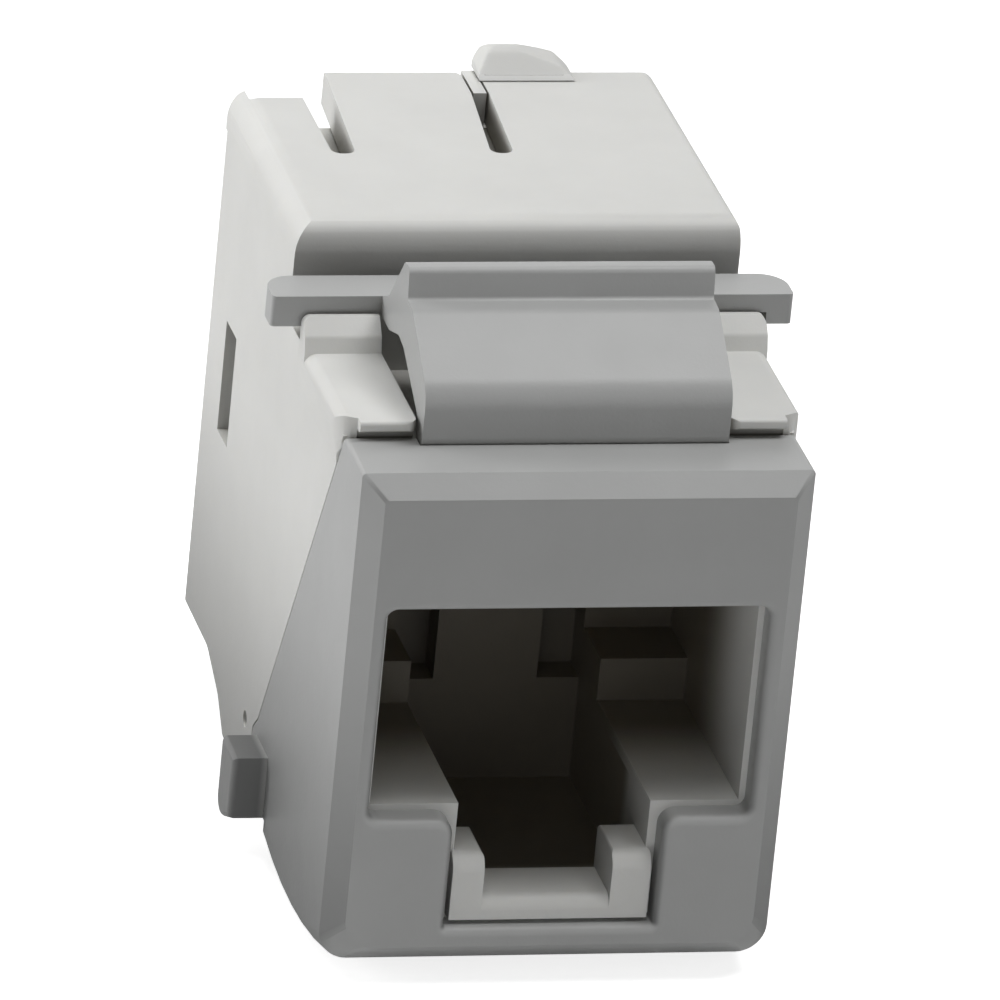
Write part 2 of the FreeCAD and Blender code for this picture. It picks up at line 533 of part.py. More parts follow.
def jack_housing():
    """One moulding: plug cavity in front, shoulders, roof and the rear compartment."""
    housing = side_prism(shell_outline(), HALF_FRAME)
    arch = [(-HALF_FRAME, 0), (HALF_FRAME, 0), (HALF_FRAME, ROOF_HEIGHT, ROOF_RIGHT_RADIUS),
            (-HALF_FRAME, ROOF_HEIGHT, ROOF_LEFT_RADIUS)]
    housing = housing.common(front_prism(arch, 0, ROOF_REACH + OVERCUT))
    nose = box(-NOSE_HALF, NOSE_HALF, FACE_THICKNESS, BULKHEAD, FOOT_THICKNESS + FIT_GAP, NOSE_TOP)
    housing = housing.fuse(nose)
    housing = housing.cut(box(-POCKET_HALF, POCKET_HALF, TOP_STRIP_DEPTH - SHOULDER_LIP - OVERCUT,
                              ROOF_FRONT, NOSE_TOP, ROOF_HEIGHT))
    housing = housing.cut(plug_cavity())
    housing = housing.cut(box(-COMPARTMENT_HALF, COMPARTMENT_HALF, BULKHEAD, ROOF_REACH + OVERCUT,
                              COMPARTMENT_FLOOR, COMPARTMENT_TOP))
    for cut in roof_cuts():
        housing = housing.cut(cut)
    for side_sign in (-1, 1):
        wall = side_sign * HALF_FRAME
        window = box(min(wall, 0), max(wall, 0), WINDOW_FRONT, WINDOW_FRONT + WINDOW_WIDTH,
                     WINDOW_BOTTOM, WINDOW_BOTTOM + WINDOW_HEIGHT)
        housing = housing.cut(window)
        shoulder = (side_sign * POCKET_HALF, LIP_FRONT)
        housing = round_corner(housing, shoulder, (side_sign, 1), SHOULDER_CORNER,
                               FRAME_HEIGHT, SHOULDER_HEIGHT + OVERCUT)
        flank_root = wall + side_sign * (FLANK_BULGE - FLANK_WIDTH)
        housing = housing.cut(box(min(wall, flank_root), max(wall, flank_root), 0, RAMP_BACK,
                                  FRAME_HEIGHT, RAMP_TOP))
        housing = housing.fuse(shoulder_flank() if side_sign > 0 else mirrored(shoulder_flank()))
        housing = round_corner(housing, (wall, SHELL_DEPTH), (-side_sign, -1), SHELL_SIDE_CORNER,
                               0, COMPARTMENT_TOP)
    dimple = Part.makeCylinder(DIMPLE_RADIUS, DIMPLE_SINK + OVERCUT,
                               V(-HALF_FRAME - OVERCUT, DIMPLE_PLACE, DIMPLE_HEIGHT), V(1, 0, 0))
    housing = housing.cut(dimple).fuse(plug_catch()).removeSplitter()
    low = COMPARTMENT_TOP - OVERCUT
    high = ROOF_HEIGHT + OVERCUT
    housing = round_corner(housing, (HALF_FRAME, ROOF_REACH), (-1, -1), ROOF_CORNER, low, high)
    housing = round_corner(housing, (-HALF_FRAME, LEFT_WALL_REACH), (1, -1), LEFT_WALL_TOP,
                           COMPARTMENT_TOP, high)
    return round_corner(housing, (FINGER_RIGHT, ROOF_REACH), (-1, -1), FINGER_CORNER, low, high)


def contact_columns():
    """Centre of each contact across the width."""
    first = -(CONTACT_COUNT - 1) / 2 * CONTACT_PITCH
    return [first + index * CONTACT_PITCH for index in range(CONTACT_COUNT)]


def contact_spring(x):
    """One bent contact: tail through the board, run above the port, sloping arm and tip."""
    slope = math.radians(CONTACT_SLOPE)
    rise = CONTACT_RUN_HEIGHT - CONTACT_TIP_HEIGHT
    corner = CONTACT_TIP - rise / math.tan(slope)
    reach = CONTACT_BEND / math.tan(slope / 2)
    tail = BOARD_BACK + CONTACT_THICKNESS
    run_end = V(x, corner + reach, CONTACT_RUN_HEIGHT)
    arm_start = V(x, corner + reach * math.cos(slope), CONTACT_RUN_HEIGHT - reach * math.sin(slope))
    sagitta = CONTACT_BEND / math.sin(slope / 2) - CONTACT_BEND
    bisector = V(0, math.cos(slope / 2), -math.sin(slope / 2))
    middle = V(x, corner, CONTACT_RUN_HEIGHT) + bisector * sagitta
    path = Part.Wire([
        Part.LineSegment(V(x, tail, CONTACT_RUN_HEIGHT), run_end).toShape(),
        Part.Arc(run_end, middle, arm_start).toShape(),
        Part.LineSegment(arm_start, V(x, CONTACT_TIP, CONTACT_TIP_HEIGHT)).toShape()])
    half_width = CONTACT_WIDTH / 2
    half_thick = CONTACT_THICKNESS / 2
    corners = [(-half_width, -half_thick), (half_width, -half_thick),
               (half_width, half_thick), (-half_width, half_thick)]
    section = [V(x + u, tail, CONTACT_RUN_HEIGHT + v) for u, v in corners]
    return path.makePipeShell([Part.makePolygon(section + section[:1])], True, False)


def contact_carrier():
    """Insert that roofs the port and combs the contacts' tips."""
    outline = [(CARRIER_FRONT, CAVITY_TOP), (CARRIER_FRONT, CARRIER_TOP, 0.4), (BULKHEAD, CARRIER_TOP),
               (BULKHEAD, CARRIER_COMB_BOTTOM), (CAVITY_DEPTH, CARRIER_COMB_BOTTOM),
               (CAVITY_DEPTH, CAVITY_TOP)]
    carrier = side_prism(outline, CARRIER_WIDTH / 2)
    slot_front = CARRIER_FRONT + CONTACT_BEND
    slot_top = CONTACT_RUN_HEIGHT + CONTACT_THICKNESS / 2
    slot_under = CONTACT_RUN_HEIGHT - CONTACT_THICKNESS / 2
    slot = [(slot_front, CAVITY_TOP - OVERCUT), (slot_front, slot_top), (BULKHEAD + OVERCUT, slot_top),
            (BULKHEAD + OVERCUT, slot_under), (COMB_SLOT_BACK, slot_under),
            (COMB_SLOT_BACK, COMB_SLOT_BOTTOM), (CAVITY_DEPTH - OVERCUT, COMB_SLOT_BOTTOM),
            (CAVITY_DEPTH - OVERCUT, CAVITY_TOP - OVERCUT)]
    for x in contact_columns():
        carrier = carrier.cut(side_slab(slot, x - COMB_SLOT_WIDTH / 2, x + COMB_SLOT_WIDTH / 2))
    return carrier


def terminal_places():
    """(X, Z) of each terminal, upper row first."""
    first = -(TERMINAL_COLUMNS - 1) / 2 * TERMINAL_PITCH
    columns = [first + index * TERMINAL_PITCH for index in range(TERMINAL_COLUMNS)]
    rows = (BOARD_MIDDLE + TERMINAL_ROW_OFFSET, BOARD_MIDDLE - TERMINAL_ROW_OFFSET)
    return [(x, z) for z in rows for x in columns]


def circuit_board():
    """Board with a plated hole for every contact tail and terminal pin."""
    half = BOARD_WIDTH / 2
    board = box(-half, half, BULKHEAD, BOARD_BACK, BOARD_BOTTOM, BOARD_TOP)
    tail = math.hypot(CONTACT_WIDTH, CONTACT_THICKNESS) / 2 + SOLDER_GAP
    pin = math.hypot(TERMINAL_PIN, TERMINAL_THICKNESS) / 2 + SOLDER_GAP
    holes = [(x, CONTACT_RUN_HEIGHT, tail) for x in contact_columns()]
    holes += [(x, z, pin) for x, z in terminal_places()]
    for x, z, radius in holes:
        board = board.cut(Part.makeCylinder(radius, BOARD_THICKNESS, V(x, BULKHEAD, z), V(0, 1, 0)))
    return board


def terminal(x, z):
    """Flat fork that cuts through a conductor's insulation, with its solder pin."""
    half = TERMINAL_WIDTH / 2
    pin = TERMINAL_PIN / 2
    slit = TERMINAL_SLIT / 2
    end = BOARD_BACK + TERMINAL_LENGTH
    start = BOARD_BACK - TERMINAL_PIN_LENGTH
    mouth = TERMINAL_MOUTH / 2
    right = [(pin, start), (pin, BOARD_BACK), (half, BOARD_BACK), (half, end - mouth), (mouth, end),
             (slit, end - mouth), (slit, end - TERMINAL_SLIT_DEPTH)]
    left = [(-u, v) for u, v in reversed(right)]
    placed = [(x + u, v) for u, v in right + left]
    return plan_prism(placed, z - TERMINAL_THICKNESS / 2, z + TERMINAL_THICKNESS / 2)


def terminal_block():
    """Block on the board's back with two rows of towers round the terminals."""
    base_half = COMPARTMENT_HALF - FIT_GAP
    block = box(-base_half, base_half, BOARD_BACK, BLOCK_FACE, BOARD_BOTTOM, BOARD_TOP)
    half = TOWER_WIDTH / 2
    for sign in (-1, 1):
        middle = BOARD_MIDDLE + sign * TERMINAL_ROW_OFFSET
        block = block.fuse(box(-half, half, BLOCK_FACE, TOWER_BACK, middle - TOWER_HEIGHT / 2,
                               middle + TOWER_HEIGHT / 2))
    pocket_x = TERMINAL_WIDTH / 2 + POCKET_GAP
    pocket_z = TERMINAL_THICKNESS / 2 + POCKET_GAP
    slot = WIRE_SLOT_WIDTH / 2
    for x, z in terminal_places():
        block = block.cut(box(x - pocket_x, x + pocket_x, BOARD_BACK, TOWER_BACK,
                              z - pocket_z, z + pocket_z))
        block = block.cut(box(x - slot, x + slot, TOWER_BACK - WIRE_SLOT_DEPTH, TOWER_BACK,
                              z - TOWER_HEIGHT / 2, z + TOWER_HEIGHT / 2))
    tails = contact_columns()[-1] + CONTACT_PITCH / 2
    return block.cut(box(-tails, tails, BOARD_BACK, BOARD_BACK + 2 * CONTACT_THICKNESS,
                         CONTACT_RUN_HEIGHT - CONTACT_WIDTH, CONTACT_RUN_HEIGHT + CONTACT_WIDTH))


def wire_cap():
    """Cap that slides in from behind, presses the conductors home and holds the cable."""
    cap = front_prism([(-CAP_HALF, CAP_BOTTOM, 0.4), (CAP_HALF, CAP_BOTTOM, 0.4),
                       (CAP_HALF, CAP_TOP, 0.4), (-CAP_HALF, CAP_TOP, 0.4)], CAP_FRONT, SHELL_DEPTH)
    inner = CAP_HALF - CAP_WALL
    cap = cap.cut(box(-inner, inner, CAP_FRONT, CAP_INSIDE_BACK, CAP_BOTTOM + CAP_WALL, CAP_TOP - CAP_WALL))
    middle = (CAP_BOTTOM + CAP_TOP) / 2
    cap = cap.cut(Part.makeCylinder(CABLE_HOLE_RADIUS, CAP_BACK_THICKNESS,
                                    V(0, CAP_INSIDE_BACK, middle), V(0, 1, 0)))
    for x, z in terminal_places():
        cap = cap.fuse(box(x - RIB_WIDTH / 2, x + RIB_WIDTH / 2, CAP_INSIDE_BACK - RIB_REACH,
                           CAP_INSIDE_BACK, z - TOWER_HEIGHT / 2, z + TOWER_HEIGHT / 2))
    return cap.fuse(pull_tab()).removeSplitter()


def pull_tab():
    """Rounded thumb tab over the roof's rear edge, on a stem from the cap's back."""
    foot = ROOF_HEIGHT + TAB_HOVER
    top = ROOF_HEIGHT + TAB_RISE
    right = TAB_LEFT + TAB_WIDTH
    crest = [(TAB_LEFT, foot), (right, foot), (right - TAB_WIDTH / 7, ROOF_HEIGHT + TAB_SHOULDER, 0.4),
             (TAB_LEFT + TAB_WIDTH * 0.42, top, 1.6), (TAB_LEFT + TAB_WIDTH * 0.15, top, 0.5),
             (TAB_LEFT, foot + TAB_RISE / 4, 0.2)]
    head = front_prism(crest, TAB_FRONT, TAB_BACK)
    stem_left = TAB_LEFT + (TAB_WIDTH - TAB_STEM) / 2
    root = SHELL_DEPTH - CAP_BACK_THICKNESS
    low = CAP_TOP - TAB_STEM_DROP
    stem = box(stem_left, stem_left + TAB_STEM, ROOF_REACH + TAB_GAP, TAB_BACK, low, foot + 0.1)
    stem = stem.fuse(box(stem_left, stem_left + TAB_STEM, root, TAB_BACK, low, CAP_TOP))
    profile = [(root, low), (TAB_BACK, low, 0.4), (TAB_BACK, top, 0.45),
               (TAB_FRONT + TAB_SLOPE, top, 0.7), (TAB_FRONT, foot), (root, foot)]
    tab = head.fuse(stem).common(side_slab(profile, TAB_LEFT, right))
    for side, inward in ((TAB_LEFT, 1), (right, -1)):
        tab = round_corner(tab, (side, TAB_BACK), (inward, -1), TAB_CORNER, foot, top + OVERCUT)
    guide_left = FINGER_RIGHT + SLIDE_GAP
    guide_right = RIGHT_SLIT_EDGE + SLIT_WIDTH + RIGHT_SLIT_SKEW - SLIDE_GAP
    guide = box(guide_left, guide_right, GUIDE_FRONT, ROOF_REACH, CAP_TOP - OVERCUT, ROOF_HEIGHT)
    bridge = box(guide_left, guide_right, SHELL_DEPTH - OVERCUT, ROOF_REACH, CAP_TOP - OVERCUT, CAP_TOP)
    return tab.fuse(guide).fuse(bridge)


def latch_profile():
    """(Y, Z) outline of the latch: upright root, scooped ramp, lip and the head behind it."""
    front = LATCH_AXIS_DEPTH - LATCH_BARREL
    back = LATCH_AXIS_DEPTH + LATCH_BARREL
    lip_foot = FRAME_HEIGHT + LATCH_LIP_FOOT
    lip_top = FRAME_HEIGHT + LATCH_LIP_TOP
    lip_back = LATCH_LIP_DEPTH + LATCH_LIP_WIDTH
    belly = FRAME_HEIGHT + LATCH_BELLY
    return [(front, LATCH_AXIS_HEIGHT), (front, FRAME_HEIGHT + LATCH_HEEL, LATCH_SCOOP / 2),
            (LATCH_LIP_DEPTH - LATCH_LIP_WIDTH, lip_foot - 0.05, 0.6), (LATCH_LIP_DEPTH, lip_foot, 0.15),
            (LATCH_LIP_DEPTH + 0.15, lip_top, 0.22), (lip_back, lip_top, 0.3),
            (LATCH_HEAD_DEPTH, FRAME_HEIGHT + LATCH_HEAD_HEIGHT, 0.4), (WING_FRONT, WING_TOP, 0.3),
            (WING_FRONT + WING_DEPTH, WING_TOP, 0.1), (WING_FRONT + WING_DEPTH, WING_BOTTOM, 0.1),
            (LATCH_HEAD_DEPTH - 0.4, WING_BOTTOM, 0.3), (lip_back, belly, 0.5),
            (LATCH_LIP_DEPTH, belly - 0.1, 0.5), (back, FRAME_HEIGHT + LATCH_BEND, 0.4),
            (back, LATCH_AXIS_HEIGHT)]


def latch():
    """Sprung latch with the thumb wings behind it."""
    half = LATCH_WIDTH / 2
    plate = side_prism(latch_profile(), half)
    barrel = Part.makeCylinder(LATCH_BARREL, LATCH_WIDTH,
                               V(-half, LATCH_AXIS_DEPTH, LATCH_AXIS_HEIGHT), V(1, 0, 0))
    wing_back = WING_FRONT + WING_DEPTH
    span = WING_SPAN / 2
    tip_bottom = WING_BOTTOM - WING_TIP_DROP
    outline = [(-span, WING_FRONT, 0.15), (span, WING_FRONT, 0.15), (span, wing_back, WING_CORNER),
               (-span, wing_back, WING_CORNER)]
    bar = plan_prism(outline, WING_BOTTOM, WING_TOP)
    tips = plan_prism(outline, tip_bottom, WING_TOP)
    tips = tips.cut(box(WING_TIP_LEFT - span, span - WING_TIP_RIGHT, WING_FRONT - OVERCUT,
                        wing_back + OVERCUT, tip_bottom - OVERCUT, WING_TOP + OVERCUT))
    return plate.fuse(barrel).fuse(bar).fuse(tips).removeSplitter()


def save(name, shape):
    """Write one piece with the origin at the middle of the bezel's face."""
    moved = shape.copy()
    moved.translate(V(0, 0, -FRAME_HEIGHT / 2))
    solid = moved.Solids[0] if len(moved.Solids) == 1 else moved
    solid.exportStep("parts/" + name + ".step")
    print(name, len(moved.Solids), "solid", moved.isValid(), round(moved.Volume, 3))


def main():
    os.makedirs("parts", exist_ok=True)
    save("front_frame", front_frame())
    save("latch", latch())
    save("jack_housing", jack_housing())
    save("contact_carrier", contact_carrier())
    save("circuit_board", circuit_board())
    save("terminal_block", terminal_block())
    save("wire_cap", wire_cap())
    for number, x in enumerate(contact_columns(), 1):
        save("contact_spring_%d" % number, contact_spring(x))
    for number, (x, z) in enumerate(terminal_places(), 1):
        save("terminal_%d" % number, terminal(x, z))


main()
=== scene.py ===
"""Keystone jack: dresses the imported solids, lights them and sets the camera."""
import math

import bpy
from mathutils import Matrix, Vector


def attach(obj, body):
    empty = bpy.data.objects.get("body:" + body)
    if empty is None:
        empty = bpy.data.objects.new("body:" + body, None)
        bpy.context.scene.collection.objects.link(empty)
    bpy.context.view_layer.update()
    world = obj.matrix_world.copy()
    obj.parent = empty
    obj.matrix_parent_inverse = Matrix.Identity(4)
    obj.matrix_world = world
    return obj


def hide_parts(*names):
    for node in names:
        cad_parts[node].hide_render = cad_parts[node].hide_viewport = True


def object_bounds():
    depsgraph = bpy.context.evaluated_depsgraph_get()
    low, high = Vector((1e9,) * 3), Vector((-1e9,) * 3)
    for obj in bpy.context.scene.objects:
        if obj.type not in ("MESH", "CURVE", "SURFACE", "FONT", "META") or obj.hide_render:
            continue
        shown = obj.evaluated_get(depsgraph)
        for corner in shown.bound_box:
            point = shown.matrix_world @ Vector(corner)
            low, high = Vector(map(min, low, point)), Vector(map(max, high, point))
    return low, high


bl_info = {
    "name": "Keystone jack",
    "version": (1, 0, 0),
    "blender": (4, 5, 0),
    "location": "View3D > Sidebar > Keystone jack",
    "description": "Dresses a keystone jack and sets its stage",
    "category": "Object",
}

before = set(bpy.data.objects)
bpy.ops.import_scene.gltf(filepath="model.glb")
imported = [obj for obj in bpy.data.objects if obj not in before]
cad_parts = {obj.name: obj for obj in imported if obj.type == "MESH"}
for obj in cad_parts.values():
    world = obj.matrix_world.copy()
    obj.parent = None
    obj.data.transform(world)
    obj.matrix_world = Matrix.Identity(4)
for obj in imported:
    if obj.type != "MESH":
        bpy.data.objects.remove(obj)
CAD_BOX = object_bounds()

MM = 0.001

# ------------------------------------------------------------------ settings

class JACK_PG_finish(bpy.types.PropertyGroup):
    """Colours and surface of the moulded plastics and the metals."""

    grey: bpy.props.FloatVectorProperty(
        name="Grey plastic", description="Colour of the front frame and latch",
        subtype="COLOR", size=4, min=0.0, max=1.0, default=(0.50, 0.505, 0.50, 1.0))
    light: bpy.props.FloatVectorProperty(
        name="Light plastic", description="Colour of the jack housing and wire cap",
        subtype="COLOR", size=4, min=0.0, max=1.0, default=(0.82, 0.82, 0.795, 1.0))
    # Painted shade: the dark colour that the light plastic is blended toward deep in the plug port.
    inner: bpy.props.FloatVectorProperty(
        name="Port's inner end", description="Colour that the light plastic takes deep in the port",
        subtype="COLOR", size=4, min=0.0, max=1.0, default=(0.15, 0.135, 0.108, 1.0))
    carrier: bpy.props.FloatVectorProperty(
        name="Carrier plastic", description="Colour of the insert that holds the contacts",
        subtype="COLOR", size=4, min=0.0, max=1.0, default=(0.022, 0.020, 0.018, 1.0))
    mask: bpy.props.FloatVectorProperty(
        name="Solder mask", description="Colour of the circuit board's coating",
        subtype="COLOR", size=4, min=0.0, max=1.0, default=(0.012, 0.09, 0.035, 1.0))
    gold: bpy.props.FloatVectorProperty(
        name="Contact plating", description="Colour of the plated contact springs",
        subtype="COLOR", size=4, min=0.0, max=1.0, default=(0.80, 0.58, 0.24, 1.0))
    tin: bpy.props.FloatVectorProperty(
        name="Terminal plating", description="Colour of the tinned terminals and the solder",
        subtype="COLOR", size=4, min=0.0, max=1.0, default=(0.62, 0.62, 0.60, 1.0))
    edge: bpy.props.FloatProperty(
        name="Moulded edge", description="Radius that softens the mouldings' sharp edges",
        subtype="DISTANCE", unit="LENGTH", min=0.0, default=0.09 * MM)
    frame_edge: bpy.props.FloatProperty(
        name="Frame edge", description="Radius that softens the front frame's edges",
        subtype="DISTANCE", unit="LENGTH", min=0.0, default=0.17 * MM)
    latch_edge: bpy.props.FloatProperty(
        name="Latch edge", description="Radius that softens the latch's edges",
        subtype="DISTANCE", unit="LENGTH", min=0.0, default=0.24 * MM)


class JACK_PG_stage(bpy.types.PropertyGroup):
    """Camera and floor."""

    azimuth: bpy.props.FloatProperty(
        name="Camera azimuth", description="Turn of the camera round the jack, from straight ahead",
        subtype="ANGLE", default=math.radians(-15.061))
    elevation: bpy.props.FloatProperty(
        name="Camera elevation", description="Height of the camera as an angle",
        subtype="ANGLE", default=math.radians(23.606))
    roll: bpy.props.FloatProperty(
        name="Camera roll", description="Turn of the camera about its own line of sight",
        subtype="ANGLE", default=math.radians(5.679))
    distance: bpy.props.FloatProperty(
        name="Camera distance", description="Distance from the camera to its aim",
        subtype="DISTANCE", unit="LENGTH", default=457.4 * MM)
    lens: bpy.props.FloatProperty(
        name="Lens", description="Focal length of the camera", unit="CAMERA", default=527.8)
    floor_drop: bpy.props.FloatProperty(
        name="Floor drop", description="Height of the jack above the floor",
        subtype="DISTANCE", unit="LENGTH", default=0.3 * MM)


# How the mouldings are made
MERGE_DISTANCE = 0.0005 * MM
CUT_TOLERANCE = 0.001 * MM
FLAT_ANGLE = math.radians(0.3)      # faces that meet flatter than this are joined
SHARP_ANGLE = math.radians(40)      # edges sharper than this are rounded
SMOOTH_ANGLE = math.radians(35)
EDGE_STEPS = 3
CARRIER_EDGE = 0.04 * MM
BLOCK_EDGE = 0.05 * MM
KNOB_FOOT = 11.9 * MM               # height of the thumb tab's underside
KNOB_LAP = 0.16 * MM
KNOB_FACET = 0.06 * MM
KNOB_ROUNDS = 7

# The plastics: cloud, gloss and grain, and the painted shade that darkens their colour in corners
# and recesses
CLOUD_SCALE = 260.0
GLOSS_SCALE = 700.0
GLOSS_SWING = 0.05
FINE_GRAIN_SCALE = 9000.0
BROAD_GRAIN_SCALE = 2400.0
GRAIN_DEPTH = 0.010 * MM
GRAIN_STRENGTH = 0.35
PLASTIC_IOR = 1.5
LIGHT_SUBSURFACE = 0.12
SUBSURFACE_DEPTHS = (0.6, 0.55, 0.45)
SUBSURFACE_REACH = 0.6 * MM
HOLLOW_REACH = 4.0 * MM
HOLLOW_FULL = 0.08                  # openness at which a hollow is deepest
HOLLOW_NONE = 0.66                  # openness from which the colour stays
HOUSING_HOLLOW_NONE = 0.48
HOLLOW_SAMPLES = 8
HOLLOW_SHADE_SHARES = (0.30, 0.285, 0.25)
OPEN_FRONT = (0.6 * MM, 3.4 * MM)   # depths between which hollows start to deepen
SHELF_HEIGHT = 8.3 * MM
SHELF_BACK = (8.6 * MM, 9.6 * MM)
SHELF_OPEN = 0.35                   # share of the deepening that the shelves are spared

# Painted shade: the colour darkens down the sides, on the lugs and on the roof's front wall, where
# less light reaches
FALL_SHADE_SHARE = 0.40
SIDE_FALL = (5.0 * MM, -9.0 * MM)
SIDEWAYS = (0.3, 0.9)
LUG_REACH = (7.25 * MM, 7.5 * MM)
LUG_TOP = -4.0 * MM
FORWARD = (-0.35, -0.95)
ROOF_WALL = (9.4 * MM, 9.6 * MM)
ROOF_WALL_SHADE_SHARE = 0.75

# The plug port, where painted shade darkens the colour toward its far end and on its sunken floor
PORT_HALF = 6.2 * MM
PORT_ROOF = 3.6 * MM
PORT_SHELF = -3.5 * MM
PORT_DEPTHS = (2.2 * MM, 7.0 * MM)
PORT_END = 15.0 * MM
FLOOR_DEPTHS = (3.2 * MM, 4.4 * MM)

# The stage
WHITE = (1.0, 1.0, 1.0, 1.0)
FLOOR_COLOUR = (0.85, 0.85, 0.85, 1.0)
FLOOR_SIZE = 1.2
FLOOR_LIFT = 0.80                   # brings the open floor up to white, its shadow not quite
WORLD_STRENGTH = 0.03
AIM_PIVOT = (0.0, 0.0, -0.325 * MM)
AIM_SHIFT = (-2.161 * MM, 7.273 * MM)
LAMP_AIM = (0.0, 0.010, 0.0)
LAMPS = (                           # name, place, diameter in metres, power in watts
    ("side_left", (-0.327, 0.129, 0.093), 0.16, 0.43),
    ("front_left", (-0.150, -0.300, 0.130), 0.16, 0.05),
    ("front_right", (0.185, -0.288, 0.093), 0.16, 0.04),
    ("back", (0.0, 0.286, 0.231), 0.16, 0.05),
    ("key_above", (0.132, 0.0, 0.335), 0.16, 0.45),
    ("overhead", (-0.03, -0.05, 0.355), 0.16, 0.26),
    ("near_left", (-0.050, 0.040, 0.045), 0.04, 0.008),
)


# ------------------------------------------------------------------- helpers

def finish_settings():
    """The scene's colours and edges."""
    return bpy.context.scene.jack_finish


def stage_settings():
    """The scene's camera and floor settings."""
    return bpy.context.scene.jack_stage


def deselect():
    """Leave no object selected."""
    bpy.ops.object.select_all(action="DESELECT")


def pick(piece):
    """Select one object alone and make it active."""
    deselect()
    piece.select_set(True)
    bpy.context.view_layer.objects.active = piece


def moulded_copy(node, body, material, edge):
    """A merged copy of a CAD node with its sharp edges softened, standing for the node."""
    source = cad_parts[node]
    piece = bpy.data.objects.new(node + "_moulding", source.data.copy())
    bpy.context.scene.collection.objects.link(piece)
    pick(piece)
    bpy.ops.object.mode_set(mode="EDIT")
    bpy.ops.mesh.select_all(action="SELECT")
    bpy.ops.mesh.remove_doubles(threshold=MERGE_DISTANCE)
    bpy.ops.mesh.dissolve_limited(angle_limit=FLAT_ANGLE)
    bpy.ops.object.mode_set(mode="OBJECT")
    bevel = piece.modifiers.new("soft_edge", "BEVEL")
    bevel.limit_method = "ANGLE"
    bevel.angle_limit = SHARP_ANGLE
    bevel.width = edge
    bevel.segments = EDGE_STEPS
    bevel.use_clamp_overlap = True
    bevel.harden_normals = False
    bpy.ops.object.modifier_apply(modifier=bevel.name)
    bpy.ops.object.shade_smooth_by_angle(angle=SMOOTH_ANGLE)
    weighted = piece.modifiers.new("flat_faces", "WEIGHTED_NORMAL")
    weighted.keep_sharp = True
    weighted.weight = 100
    bpy.ops.object.modifier_apply(modifier=weighted.name)
    piece.data.materials.clear()
    piece.data.materials.append(material)
    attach(piece, body)
    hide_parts(node)
    return piece


def cut_off(piece, height, keep_above):
    """Keep the part of a piece above or below a height and close it."""
    pick(piece)
    bpy.ops.object.mode_set(mode="EDIT")
    bpy.ops.mesh.select_all(action="SELECT")
    bpy.ops.mesh.bisect(plane_co=(0, 0, height), plane_no=(0, 0, 1), use_fill=True,
                        threshold=CUT_TOLERANCE, clear_inner=keep_above,
                        clear_outer=not keep_above)
    bpy.ops.object.mode_set(mode="OBJECT")


def round_off(piece, grain, rounds):
    """Rebuild a closed piece from even facets and smooth it to a rounded lump."""
    pick(piece)
    even = piece.modifiers.new("even", "REMESH")
    even.mode = "VOXEL"
    even.voxel_size = grain
    bpy.ops.object.modifier_apply(modifier=even.name)
    worn = piece.modifiers.new("worn", "SMOOTH")
    worn.factor = 0.5
    worn.iterations = rounds
    bpy.ops.object.modifier_apply(modifier=worn.name)
    bpy.ops.object.shade_smooth()


def dress(node, material):
    """Give a CAD node a material."""
    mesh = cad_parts[node].data
    if not mesh.materials:
        mesh.materials.append(material)
    for index in range(len(mesh.materials)):
        mesh.materials[index] = material


def new_material(name):
    """A material with its node tree, its main shader and its object coordinates."""
    material = bpy.data.materials.new(name)
    material.use_nodes = True
    tree = material.node_tree
    shader = tree.nodes["Principled BSDF"]
    coordinates = tree.nodes.new("ShaderNodeTexCoord")
    return material, tree, shader, coordinates.outputs["Object"]


def noise(tree, vector, scale, detail=2.0, roughness=0.5):
    """A noise value over a vector."""
    node = tree.nodes.new("ShaderNodeTexNoise")
    node.inputs["Scale"].default_value = scale
    node.inputs["Detail"].default_value = detail
    node.inputs["Roughness"].default_value = roughness
    tree.links.new(vector, node.inputs["Vector"])
    return node.outputs["Fac"]


def ramp(tree, factor, stops):
    """A colour ramp with (position, colour) stops."""
    node = tree.nodes.new("ShaderNodeValToRGB")
    elements = node.color_ramp.elements
    while len(elements) < len(stops):
        elements.new(0.5)
    for element, (position, colour) in zip(elements, stops):
        element.position = position
        element.color = colour
    tree.links.new(factor, node.inputs["Fac"])
    return node.outputs["Color"]


def grain_bump(tree, shader, layers, distance, strength):
    """Bump from summed noise layers."""
    height = layers[0]
    for layer in layers[1:]:
        height = combine(tree, "ADD", height, layer)
    bump = tree.nodes.new("ShaderNodeBump")
    bump.inputs["Distance"].default_value = distance
    bump.inputs["Strength"].default_value = strength
    tree.links.new(height, bump.inputs["Height"])
    tree.links.new(bump.outputs["Normal"], shader.inputs["Normal"])


def shade(colour, factor):
    """A colour made lighter or darker."""
    return tuple(min(1.0, channel * factor) for channel in colour[:3]) + (1.0,)


def along(tree, vector):
    """A vector's X, Y and Z."""
    node = tree.nodes.new("ShaderNodeSeparateXYZ")
    tree.links.new(vector, node.inputs["Vector"])
    return node.outputs["X"], node.outputs["Y"], node.outputs["Z"]


def spread(tree, value, low, high):
    """Maps a value of 0 to 1 evenly onto low to high."""
    node = tree.nodes.new("ShaderNodeMapRange")
    node.inputs["To Min"].default_value = low
    node.inputs["To Max"].default_value = high
    tree.links.new(value, node.inputs["Value"])
    return node.outputs["Result"]


def span(tree, value, ends):
    """Rises smoothly from 0 to 1 as the value goes from the first end to the second."""
    node = tree.nodes.new("ShaderNodeMapRange")
    node.interpolation_type = "SMOOTHSTEP"
    node.inputs["From Min"].default_value = ends[0]
    node.inputs["From Max"].default_value = ends[1]
    tree.links.new(value, node.inputs["Value"])
    return node.outputs["Result"]


